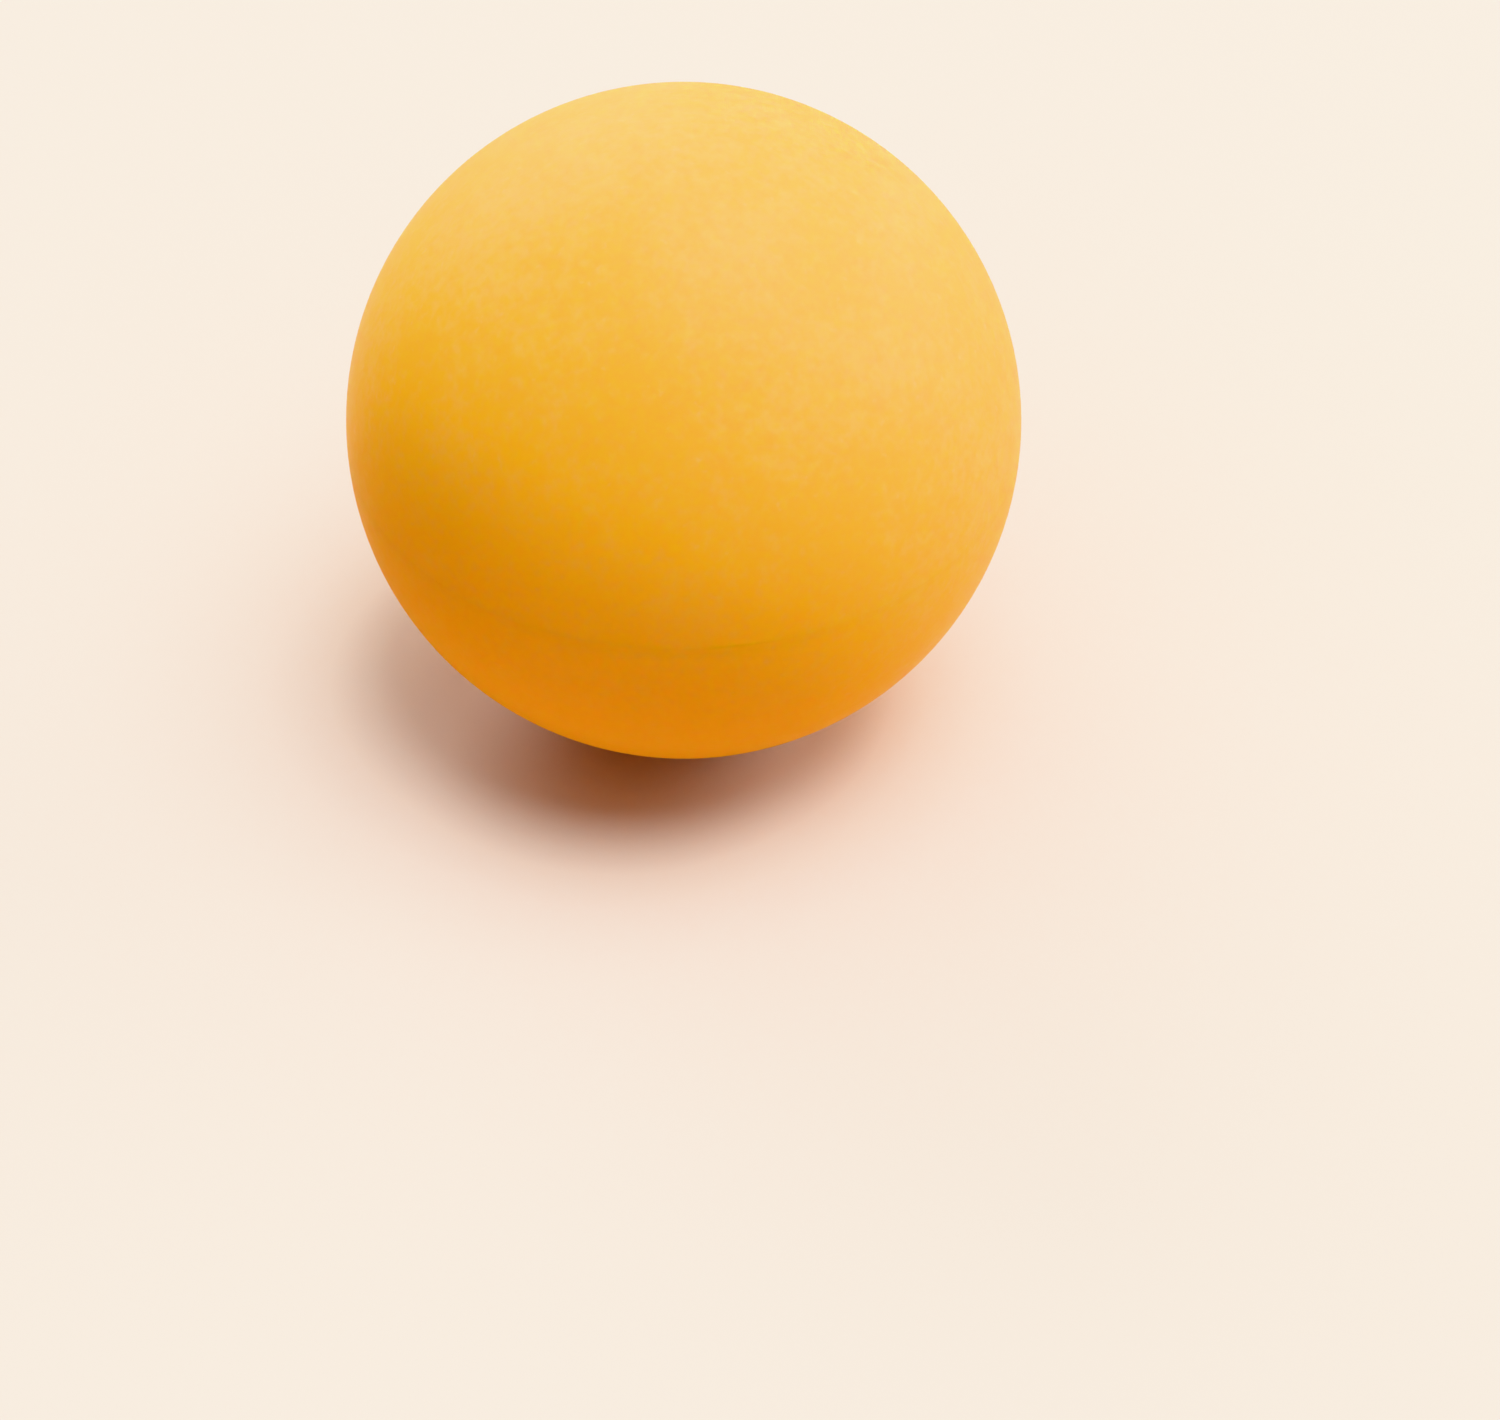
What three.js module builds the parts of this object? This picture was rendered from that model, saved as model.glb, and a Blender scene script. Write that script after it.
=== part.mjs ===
// A hollow table tennis ball: two plastic half shells, joined by a tongue in a rebate, with a
// ring of solvent cement in the seam between them. Millimetres, +Z up, origin at the ball's
// centre. The seam lies in the XY plane and every piece is turned about the Z axis.

import * as THREE from "three";

// The shells
const BALL_DIAMETER = 40;
const WALL = 0.49;

// The joint: both rims are thickened inwards to a plain cylindrical face, the upper shell's
// tongue reaches down inside the lower shell, and bevels leave a shallow groove outside.
const JOINT_WALL = 0.8;
const TONGUE_THICKNESS = 0.36;
const TONGUE_LENGTH = 1.3;
const GROOVE_WIDTH = 0.46;
const GROOVE_DEPTH = 0.15;

// The cement: a film in the joint, flush with the ball outside and squeezed out inside
const FILM = 0.08;
const BEAD_WIDTH = 0.9;
const BEAD_HEIGHT = 0.22;
const CLEARANCE = 0.01;

// Faces around each piece, from pole to seam, and over the bead
const AROUND = 72;
const POLE_TO_SEAM = 18;
const BEAD_STEPS = 6;

const POLE = Math.PI / 2;
const outerRadius = BALL_DIAMETER / 2;
const innerRadius = outerRadius - WALL;
const jointRadius = outerRadius - JOINT_WALL;
const tongueRadius = jointRadius + TONGUE_THICKNESS;
const rebateRadius = tongueRadius + FILM;
const grooveFloor = outerRadius - GROOVE_DEPTH;
const rimHeight = FILM / 2;
const shelfDepth = TONGUE_LENGTH + FILM;

/** Points [radius, height] along an arc about the centre, between two angles above the seam. */
function arc(radius, from, to, steps) {
  return Array.from({ length: steps + 1 }, (_, i) => {
    const angle = from + ((to - from) * i) / steps;
    return [radius * Math.cos(angle), radius * Math.sin(angle)];
  });
}

/** A profile of [radius, height] points, upwards on the outside, turned about the Z axis. */
function turned(profile) {
  const points = profile.map(([radius, height]) => new THREE.Vector2(radius, height));
  const geometry = new THREE.LatheGeometry(points, AROUND);
  geometry.rotateX(Math.PI / 2);
  return geometry;
}

/** A half shell's outer skin, from its pole to its bevel; side is 1 above the seam, -1 below. */
function outerSkin(side) {
  const bevel = Math.asin(GROOVE_WIDTH / 2 / outerRadius);
  return arc(outerRadius, side * POLE, side * bevel, POLE_TO_SEAM);
}

/** A half shell's inner skin, from the edge of its thickened rim to its pole. */
function innerSkin(side) {
  const rimEdge = Math.acos(jointRadius / innerRadius);
  return arc(innerRadius, side * rimEdge, side * POLE, POLE_TO_SEAM);
}

/** The upper half, whose rim ends in the tongue. */
function upperHalfShell() {
  const profile = [
    ...outerSkin(1),
    [grooveFloor, rimHeight],
    [tongueRadius, rimHeight],
    [tongueRadius, -TONGUE_LENGTH],
    [jointRadius, -TONGUE_LENGTH],
    ...innerSkin(1),
  ];
  return turned(profile.reverse());
}

/** The lower half, whose rim is cut back inside to the shelf that the tongue stands over. */
function lowerHalfShell() {
  return turned([
    ...outerSkin(-1),
    [grooveFloor, -rimHeight],
    [rebateRadius, -rimHeight],
    [rebateRadius, -shelfDepth],
    [jointRadius, -shelfDepth],
    ...innerSkin(-1),
  ]);
}

/** The squeezed-out bead: a half ellipse on the joint's inner face, level with the shelf. */
function bead() {
  const middle = -(TONGUE_LENGTH + FILM / 2);
  return Array.from({ length: BEAD_STEPS + 1 }, (_, i) => {
    const angle = (Math.PI * i) / BEAD_STEPS;
    return [
      jointRadius - CLEARANCE - BEAD_HEIGHT * Math.sin(angle),
      middle + (BEAD_WIDTH / 2) * Math.cos(angle),
    ];
  });
}

/** The cement: groove, butt joint, lap and shelf film, and the bead, as one closed ring. */
function seamCementRing() {
  const edge = GROOVE_WIDTH / 2 - CLEARANCE;
  const edgeAngle = Math.asin(edge / outerRadius);
  const faceHeight = rimHeight - CLEARANCE;
  const lapInside = tongueRadius + CLEARANCE;
  const lapOutside = rebateRadius - CLEARANCE;
  const filmTop = -TONGUE_LENGTH - CLEARANCE;
  const filmBottom = -shelfDepth + CLEARANCE;
  const ground = arc(outerRadius, -edgeAngle, edgeAngle, 2);
  return turned([
    ...ground,
    [grooveFloor, faceHeight],
    [lapInside, faceHeight],
    [lapInside, filmTop],
    [jointRadius - CLEARANCE, filmTop],
    ...bead(),
    [jointRadius - CLEARANCE, filmBottom],
    [lapOutside, filmBottom],
    [lapOutside, -faceHeight],
    [grooveFloor, -faceHeight],
    ground[0],
  ]);
}

function piece(name, geometry, color, roughness) {
  const material = new THREE.MeshStandardMaterial({ color, roughness, metalness: 0 });
  const mesh = new THREE.Mesh(geometry, material);
  mesh.name = name;
  return mesh;
}

const ball = new THREE.Group();
ball.add(piece("upper_half_shell", upperHalfShell(), 0xf0a830, 0.6));
ball.add(piece("lower_half_shell", lowerHalfShell(), 0xf0a830, 0.6));
ball.add(piece("seam_cement_ring", seamCementRing(), 0xe8981c, 0.5));

export default ball;
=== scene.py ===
"""A table tennis ball at rest on a plain pale floor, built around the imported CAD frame.

Units are metres. The ball's centre is the origin, +Z is up and the seam lies in the XY plane.
"""
import math

import bmesh
import bpy
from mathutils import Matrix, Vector


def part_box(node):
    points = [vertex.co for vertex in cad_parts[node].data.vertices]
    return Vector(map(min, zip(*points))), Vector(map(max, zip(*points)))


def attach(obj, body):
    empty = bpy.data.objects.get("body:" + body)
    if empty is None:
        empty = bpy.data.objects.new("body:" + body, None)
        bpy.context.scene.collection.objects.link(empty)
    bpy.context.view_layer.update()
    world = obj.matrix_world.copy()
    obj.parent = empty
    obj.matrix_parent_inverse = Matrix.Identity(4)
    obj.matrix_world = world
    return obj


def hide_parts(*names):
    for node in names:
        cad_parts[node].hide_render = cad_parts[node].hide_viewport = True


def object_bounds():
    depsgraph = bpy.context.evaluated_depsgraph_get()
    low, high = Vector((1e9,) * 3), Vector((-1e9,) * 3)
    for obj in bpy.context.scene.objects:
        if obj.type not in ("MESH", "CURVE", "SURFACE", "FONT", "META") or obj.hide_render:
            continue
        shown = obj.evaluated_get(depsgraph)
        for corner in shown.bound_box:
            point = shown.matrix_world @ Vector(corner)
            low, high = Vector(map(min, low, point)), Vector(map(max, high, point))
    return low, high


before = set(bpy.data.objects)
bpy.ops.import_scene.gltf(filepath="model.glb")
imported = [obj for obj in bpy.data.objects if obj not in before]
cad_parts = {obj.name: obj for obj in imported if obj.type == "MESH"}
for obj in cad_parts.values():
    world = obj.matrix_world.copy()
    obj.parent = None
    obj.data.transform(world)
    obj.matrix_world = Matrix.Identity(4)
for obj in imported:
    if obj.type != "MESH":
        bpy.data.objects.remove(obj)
cad_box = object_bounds()

MM = 0.001

# The ball's size and joint come from the CAD nodes' boxes.
RADIUS = cad_box[1].z
TONGUE_LENGTH = -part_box("upper_half_shell")[0].z
CEMENT_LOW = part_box("seam_cement_ring")[0].z

# Sections of the shells and of the joint between them
WALL = 0.49 * MM
JOINT_WALL = 0.8 * MM
TONGUE_THICKNESS = 0.36 * MM
FILM = 0.08 * MM
GROOVE_WIDTH = 0.46 * MM
GROOVE_DEPTH = 0.15 * MM
BEAD_HEIGHT = 0.22 * MM
CLEARANCE = 0.002 * MM

# Radii of the joint's faces, and heights above or below the seam
JOINT_RADIUS = RADIUS - JOINT_WALL
TONGUE_RADIUS = JOINT_RADIUS + TONGUE_THICKNESS
REBATE_RADIUS = TONGUE_RADIUS + FILM
GROOVE_FLOOR = RADIUS - GROOVE_DEPTH
INNER_RADIUS = RADIUS - WALL
RIM_HEIGHT = FILM / 2
SHELF_DEPTH = TONGUE_LENGTH + FILM
SKIN_EDGE = GROOVE_WIDTH / 2
RIM_EDGE = math.sqrt(INNER_RADIUS ** 2 - JOINT_RADIUS ** 2)

# Mesh density: quads across a cap, points around every ring, and steps along the cement's arcs
CAP_STEPS = 80
RING_POINTS = 4 * CAP_STEPS
BEAD_STEPS = 12
FLUSH_STEPS = 4
FLOOR_SIDES = 64
SHARP_ANGLE = math.radians(30)
MERGE_DISTANCE = 0.0001 * MM
ALMOST_ZERO = 1e-9

# Camera
VIEW_ELEVATION = math.radians(40)
CAMERA_DISTANCE = 248.2 * MM
FOCAL_LENGTH = 100.0
SENSOR_WIDTH = 36.0
NEAREST_SEEN = 10 * MM
AIM_RIGHT = 3.69 * MM
AIM_BELOW = 17.2 * MM

# Floor and surround. The floor fades out between two distances from its middle.
FLOOR_RADIUS = 1.0
FLOOR_FADE = (0.35, 0.85)
FLOOR_GAP = 0.001 * MM
FLOOR_ROUGHNESS = 0.9
FLOOR_SPECULAR = 0.1
FLOOR_SEEN = (0.78, 0.72, 0.66)
FLOOR_BOUNCE = (0.66, 0.35, 0.15)
SURROUND_LIGHT = (0.02, 0.02, 0.02)
SURROUND_SEEN = (1.85, 1.65, 1.43)

# Soft lights. An azimuth is counted in degrees from the camera's side towards +X.
STUDIO_LIGHT = (1.0, 0.98, 0.94)
PALM_LIGHT = (1.0, 0.35, 0.39)
LIGHT_DISTANCE = 1.2
OVERHEAD = dict(azimuth=105, elevation=84, width=1.2, height=1.2, power=7.2)
RIGHT = dict(azimuth=69, elevation=74, width=0.95, height=0.95, power=16.8)
LOW_BACK = dict(azimuth=111, elevation=19, width=1.3, height=0.6, power=12.5)
HIGH_BACK = dict(azimuth=206, elevation=24, width=1.0, height=1.0, power=12.8)
PALM = dict(azimuth=-60, elevation=14, width=0.55, height=0.55, power=1.3)

# Ball plastic: a base between two close tints, with pale specks. Haze is a weak, glossier coat.
DEEP = (0.955, 0.536, 0.001)
PALE = (0.974, 0.567, 0.070)
SPECK = (0.985, 0.610, 0.170)
CEMENT_DEEP = (0.954, 0.524, 0.001)
CEMENT_PALE = (0.972, 0.554, 0.061)
PLASTIC_DEPTH = 0.25 * MM
CEMENT_DEPTH = 0.03 * MM
DEPTH_BY_COLOUR = (1.0, 0.5, 0.25)
ROUGHNESS = (0.70, 0.82)
SPECULAR_LEVEL = 0.76
SPECULAR_TINT = (1.0, 0.96, 0.85)
PLASTIC_IOR = 1.5
HAZE = 0.12
HAZE_ROUGHNESS = 0.35
SHEEN = 0.15
SHEEN_ROUGHNESS = 0.3

# Sizes of what the surface shows. A spread is the part of a sum of noises that is stretched out.
CLOUD_SIZE = 6.0 * MM
MOTTLE_SIZE = 1.1 * MM
GRAIN_SIZE = 0.5 * MM
SPECK_SIZE = 0.55 * MM
SPECK_PEAKS = (0.69, 0.80)
SPECK_STRENGTH = 0.3
TINT_SPREAD = (1.28, 1.86)
WEAR_SPREAD = (0.7, 1.3)
BUMP_DEPTH = 0.006 * MM


# ---------------------------------------------------------------- camera, lights and floor

def direction(azimuth, elevation):
    """The unit vector towards an azimuth (0 is along -Y, the camera's side) and elevation."""
    flat = math.cos(elevation)
    return Vector((math.sin(azimuth) * flat, -math.cos(azimuth) * flat, math.sin(elevation)))


def look_at(obj, place, target):
    """Puts a camera or light at a place and turns it towards a target."""
    obj.location = place
    obj.rotation_euler = (target - place).to_track_quat("-Z", "Y").to_euler()


def add_camera():
    """A long lens that looks down at the ball, with the ball above and left of the middle."""
    data = bpy.data.cameras.new("camera")
    data.lens = FOCAL_LENGTH
    data.sensor_width = SENSOR_WIDTH
    data.clip_start = NEAREST_SEEN
    camera = bpy.data.objects.new("camera", data)
    bpy.context.scene.collection.objects.link(camera)
    towards_camera = direction(0, VIEW_ELEVATION)
    right = Vector((1, 0, 0))
    above = towards_camera.cross(right)
    target = AIM_RIGHT * right - AIM_BELOW * above
    look_at(camera, CAMERA_DISTANCE * towards_camera, target)
    bpy.context.scene.camera = camera


def add_light(name, colour, azimuth, elevation, width, height, power):
    """A soft light aimed at the ball, which the camera itself doesn't see."""
    data = bpy.data.lights.new(name, "AREA")
    data.shape = "ELLIPSE"
    data.size = width
    data.size_y = height
    data.energy = power
    data.color = colour
    light = bpy.data.objects.new(name, data)
    light.visible_camera = False
    bpy.context.scene.collection.objects.link(light)
    towards = direction(math.radians(azimuth), math.radians(elevation))
    look_at(light, LIGHT_DISTANCE * towards, Vector((0, 0, 0)))


def add_lights():
    """Four soft white lights, and a faint warm one where a palm would throw light back."""
    add_light("overhead", STUDIO_LIGHT, **OVERHEAD)
    add_light("right", STUDIO_LIGHT, **RIGHT)
    add_light("low_back", STUDIO_LIGHT, **LOW_BACK)
    add_light("high_back", STUDIO_LIGHT, **HIGH_BACK)
    add_light("palm", PALM_LIGHT, **PALM)


def set_surround(light_level, seen_level):
    """An even pale surround: the camera sees it lighter than it lights the scene."""
    world = bpy.data.worlds.new("surround")
    bpy.context.scene.world = world
    world.use_nodes = True
    tree = world.node_tree
    tree.nodes.clear()
    lighting = tree.nodes.new("ShaderNodeBackground")
    lighting.inputs["Color"].default_value = (*light_level, 1)
    seen = tree.nodes.new("ShaderNodeBackground")
    seen.inputs["Color"].default_value = (*seen_level, 1)
    path = tree.nodes.new("ShaderNodeLightPath")
    mix = tree.nodes.new("ShaderNodeMixShader")
    output = tree.nodes.new("ShaderNodeOutputWorld")
    tree.links.new(path.outputs["Is Camera Ray"], mix.inputs[0])
    tree.links.new(lighting.outputs[0], mix.inputs[1])
    tree.links.new(seen.outputs[0], mix.inputs[2])
    tree.links.new(mix.outputs[0], output.inputs[0])


def add_floor():
    """A plain disc that the ball rests on."""
    bm = bmesh.new()
    bmesh.ops.create_circle(bm, cap_ends=True, segments=FLOOR_SIDES, radius=FLOOR_RADIUS)
    mesh = bpy.data.meshes.new("floor")
    bm.to_mesh(mesh)
    bm.free()
    floor = bpy.data.objects.new("floor", mesh)
    floor.location.z = cad_box[0].z - FLOOR_GAP
    bpy.context.scene.collection.objects.link(floor)
    floor.data.materials.append(floor_paper())


def floor_paper():
    """Pale paper that throws back warm light, as a palm does, and fades into the surround."""
    material = bpy.data.materials.new("floor_paper")
    material.use_nodes = True
    tree = material.node_tree
    shader = tree.nodes["Principled BSDF"]
    shader.inputs["Roughness"].default_value = FLOOR_ROUGHNESS
    shader.inputs["Specular IOR Level"].default_value = FLOOR_SPECULAR
    looked_at = tree.nodes.new("ShaderNodeLightPath").outputs["Is Camera Ray"]
    colour = add_blend(tree, looked_at, FLOOR_BOUNCE, FLOOR_SEEN)
    tree.links.new(colour, shader.inputs["Base Color"])
    place = tree.nodes.new("ShaderNodeTexCoord").outputs["Object"]
    away = tree.nodes.new("ShaderNodeVectorMath")
    away.operation = "LENGTH"
    tree.links.new(place, away.inputs[0])
    solid = add_range(tree, away.outputs["Value"], *FLOOR_FADE, 1, 0)
    tree.links.new(solid, shader.inputs["Alpha"])
    return material


# ---------------------------------------------------------------- meshes

def arc(radius, start, end, steps):
    """Points (radius, height) along an arc about the centre, between angles above the seam."""
    turns = [start + (end - start) * i / steps for i in range(steps + 1)]
    return [(radius * math.cos(turn), radius * math.sin(turn)) for turn in turns]


def add_turned(bm, profile):
    """A band of quads: the profile's (radius, height) points turned about the Z axis."""
    rings = []
    for radius, height in profile:
        turns = [2 * math.pi * i / RING_POINTS for i in range(RING_POINTS)]
        rings.append([
            bm.verts.new((radius * math.cos(turn), radius * math.sin(turn), height))
            for turn in turns
        ])
    for low, high in zip(rings, rings[1:]):
        for i in range(RING_POINTS):
            j = (i + 1) % RING_POINTS
            bm.faces.new((low[i], low[j], high[j], high[i]))


def turn_on_square(a, b):
    """The angle round the Z axis of a grid point (a, b), even along each square about (0, 0)."""
    if abs(a) < ALMOST_ZERO and abs(b) < ALMOST_ZERO:
        return 0.0
    if abs(a) >= abs(b):
        return math.pi / 4 * b / a + (0 if a > 0 else math.pi)
    return math.pi / 2 - math.pi / 4 * a / b + (0 if b > 0 else math.pi)


def add_cap(bm, radius, edge_height, side):
    """A spherical cap of even quads, with no pinched pole, down to edge_height from the seam."""
    reach = math.acos(edge_height / radius)
    rows = []
    for i in range(CAP_STEPS + 1):
        row = []
        for j in range(CAP_STEPS + 1):
            a = 2 * i / CAP_STEPS - 1
            b = 2 * j / CAP_STEPS - 1
            tilt = reach * max(abs(a), abs(b))
            turn = turn_on_square(a, b)
            flat = radius * math.sin(tilt)
            height = side * radius * math.cos(tilt)
            row.append(bm.verts.new((flat * math.cos(turn), flat * math.sin(turn), height)))
        rows.append(row)
    for near, far in zip(rows, rows[1:]):
        for i in range(CAP_STEPS):
            bm.faces.new((near[i], near[i + 1], far[i + 1], far[i]))


def finish_mesh(bm, name):
    """Joins what meets, turns the faces outwards and keeps true corners sharp."""
    bmesh.ops.remove_doubles(bm, verts=bm.verts, dist=MERGE_DISTANCE)
    bmesh.ops.recalc_face_normals(bm, faces=bm.faces)
    for face in bm.faces:
        face.smooth = True
    for edge in bm.edges:
        edge.smooth = edge.calc_face_angle(0) < SHARP_ANGLE
    mesh = bpy.data.meshes.new(name)
    bm.to_mesh(mesh)
    bm.free()
    obj = bpy.data.objects.new(name, mesh)
    bpy.context.scene.collection.objects.link(obj)
    return obj


def half_shell(name, side, joint):
    """A half shell: outer cap, the joint's profile between the two skins, and inner cap."""
    bm = bmesh.new()
    add_cap(bm, RADIUS, SKIN_EDGE, side)
    skin_end = (math.sqrt(RADIUS ** 2 - SKIN_EDGE ** 2), side * SKIN_EDGE)
    add_turned(bm, [skin_end, *joint, (JOINT_RADIUS, side * RIM_EDGE)])
    add_cap(bm, INNER_RADIUS, RIM_EDGE, side)
    return finish_mesh(bm, name)


def upper_shell():
    """The half shell with the tongue."""
    return half_shell("upper_shell", 1, [
        (GROOVE_FLOOR, RIM_HEIGHT),
        (TONGUE_RADIUS, RIM_HEIGHT),
        (TONGUE_RADIUS, -TONGUE_LENGTH),
        (JOINT_RADIUS, -TONGUE_LENGTH),
    ])


def lower_shell():
    """The half shell with the rebate for the tongue."""
    return half_shell("lower_shell", -1, [
        (GROOVE_FLOOR, -RIM_HEIGHT),
        (REBATE_RADIUS, -RIM_HEIGHT),
        (REBATE_RADIUS, -SHELF_DEPTH),
        (JOINT_RADIUS, -SHELF_DEPTH),
    ])


def cement_ring():
    """The cement: flush with the skin outside, a film in the joint and a round bead inside."""
    edge = SKIN_EDGE - CLEARANCE
    edge_turn = math.asin(edge / RADIUS)
    face = RIM_HEIGHT - CLEARANCE
    lap_inside = TONGUE_RADIUS + CLEARANCE
    lap_outside = REBATE_RADIUS - CLEARANCE
    film_top = -TONGUE_LENGTH - CLEARANCE
    film_bottom = -SHELF_DEPTH + CLEARANCE
    bead_foot = JOINT_RADIUS - CLEARANCE
    bead_middle = (film_top + film_bottom) / 2
    bead_reach = bead_middle - CEMENT_LOW
    turns = [math.pi * i / BEAD_STEPS for i in range(BEAD_STEPS + 1)]
    bead = [
        (bead_foot - BEAD_HEIGHT * math.sin(turn), bead_middle + bead_reach * math.cos(turn))
        for turn in turns
    ]
    flush = arc(RADIUS, -edge_turn, edge_turn, FLUSH_STEPS)
    bm = bmesh.new()
    add_turned(bm, [
        *flush,
        (GROOVE_FLOOR, face),
        (lap_inside, face),
        (lap_inside, film_top),
        (bead_foot, film_top),
        *bead,
        (bead_foot, film_bottom),
        (lap_outside, film_bottom),
        (lap_outside, -face),
        (GROOVE_FLOOR, -face),
        flush[0],
    ])
    return finish_mesh(bm, "seam_cement")


# ---------------------------------------------------------------- materials

def add_noise(tree, place, size, detail):
    """Noise from 0 to 1 whose features are about that size; detail adds finer ones."""
    noise = tree.nodes.new("ShaderNodeTexNoise")
    noise.inputs["Scale"].default_value = 1 / size
    noise.inputs["Detail"].default_value = detail
    tree.links.new(place, noise.inputs["Vector"])
    return noise.outputs["Fac"]


def add_range(tree, value, lowest, highest, low, high):
    """value, stretched from lowest..highest to low..high and kept in that range."""
    stretch = tree.nodes.new("ShaderNodeMapRange")
    stretch.inputs["From Min"].default_value = lowest
    stretch.inputs["From Max"].default_value = highest
    stretch.inputs["To Min"].default_value = low
    stretch.inputs["To Max"].default_value = high
    tree.links.new(value, stretch.inputs["Value"])
    return stretch.outputs["Result"]


def add_sum(tree, first, second):
    """The sum of two values."""
    node = tree.nodes.new("ShaderNodeMath")
    node.operation = "ADD"
    tree.links.new(first, node.inputs[0])
    tree.links.new(second, node.inputs[1])
    return node.outputs["Value"]


def add_blend(tree, factor, first, second):
    """A colour between two; either may be a plain colour."""
    node = tree.nodes.new("ShaderNodeMix")
    node.data_type = "RGBA"
    tree.links.new(factor, node.inputs["Factor"])
    for name, colour in (("A", first), ("B", second)):
        socket = next(s for s in node.inputs if s.name == name and s.type == "RGBA")
        if isinstance(colour, tuple):
            socket.default_value = (*colour, 1)
        else:
            tree.links.new(colour, socket)
    return next(s for s in node.outputs if s.type == "RGBA")


def add_specks(tree, place):
    """How much of a point is a pale speck: the rare peaks of a fine noise."""
    peaks = add_noise(tree, place, SPECK_SIZE, detail=1)
    return add_range(tree, peaks, *SPECK_PEAKS, 0, SPECK_STRENGTH)


def ball_plastic(name, deep, pale, depth):
    """A matt, slightly translucent plastic with clouds, mottle, fine grain and pale specks."""
    material = bpy.data.materials.new(name)
    material.use_nodes = True
    tree = material.node_tree
    shader = tree.nodes["Principled BSDF"]
    shader.inputs["Subsurface Weight"].default_value = 1.0
    shader.inputs["Subsurface Radius"].default_value = DEPTH_BY_COLOUR
    shader.inputs["Subsurface Scale"].default_value = depth
    shader.inputs["Specular IOR Level"].default_value = SPECULAR_LEVEL
    shader.inputs["Specular Tint"].default_value = (*SPECULAR_TINT, 1)
    shader.inputs["IOR"].default_value = PLASTIC_IOR
    shader.inputs["Coat Weight"].default_value = HAZE
    shader.inputs["Coat Roughness"].default_value = HAZE_ROUGHNESS
    shader.inputs["Sheen Weight"].default_value = SHEEN
    shader.inputs["Sheen Roughness"].default_value = SHEEN_ROUGHNESS
    place = tree.nodes.new("ShaderNodeTexCoord").outputs["Object"]
    clouds = add_noise(tree, place, CLOUD_SIZE, detail=2)
    mottle = add_noise(tree, place, MOTTLE_SIZE, detail=2)
    grain = add_noise(tree, place, GRAIN_SIZE, detail=1)
    uneven = add_sum(tree, add_sum(tree, clouds, mottle), grain)
    tint = add_blend(tree, add_range(tree, uneven, *TINT_SPREAD, 0, 1), deep, pale)
    colour = add_blend(tree, add_specks(tree, place), tint, SPECK)
    tree.links.new(colour, shader.inputs["Base Color"])
    worn = add_range(tree, add_sum(tree, mottle, grain), *WEAR_SPREAD, *ROUGHNESS)
    tree.links.new(worn, shader.inputs["Roughness"])
    bump = tree.nodes.new("ShaderNodeBump")
    bump.inputs["Distance"].default_value = BUMP_DEPTH
    tree.links.new(grain, bump.inputs["Height"])
    tree.links.new(bump.outputs["Normal"], shader.inputs["Normal"])
    return material


def dress(piece, node, material):
    """Gives a piece its material, hides the CAD node it stands for and hangs the piece under the
    root body.
    """
    piece.data.materials.append(material)
    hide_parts(node)
    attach(piece, "root")


def show_true_colours():
    """The view transform made for products: it keeps a material's own colour."""
    bpy.context.scene.view_settings.view_transform = "Khronos PBR Neutral"


add_camera()
show_true_colours()
set_surround(light_level=SURROUND_LIGHT, seen_level=SURROUND_SEEN)
add_lights()
add_floor()

plastic = ball_plastic("shell_plastic", DEEP, PALE, PLASTIC_DEPTH)
cement = ball_plastic("seam_cement", CEMENT_DEEP, CEMENT_PALE, CEMENT_DEPTH)
dress(upper_shell(), "upper_half_shell", plastic)
dress(lower_shell(), "lower_half_shell", plastic)
dress(cement_ring(), "seam_cement_ring", cement)
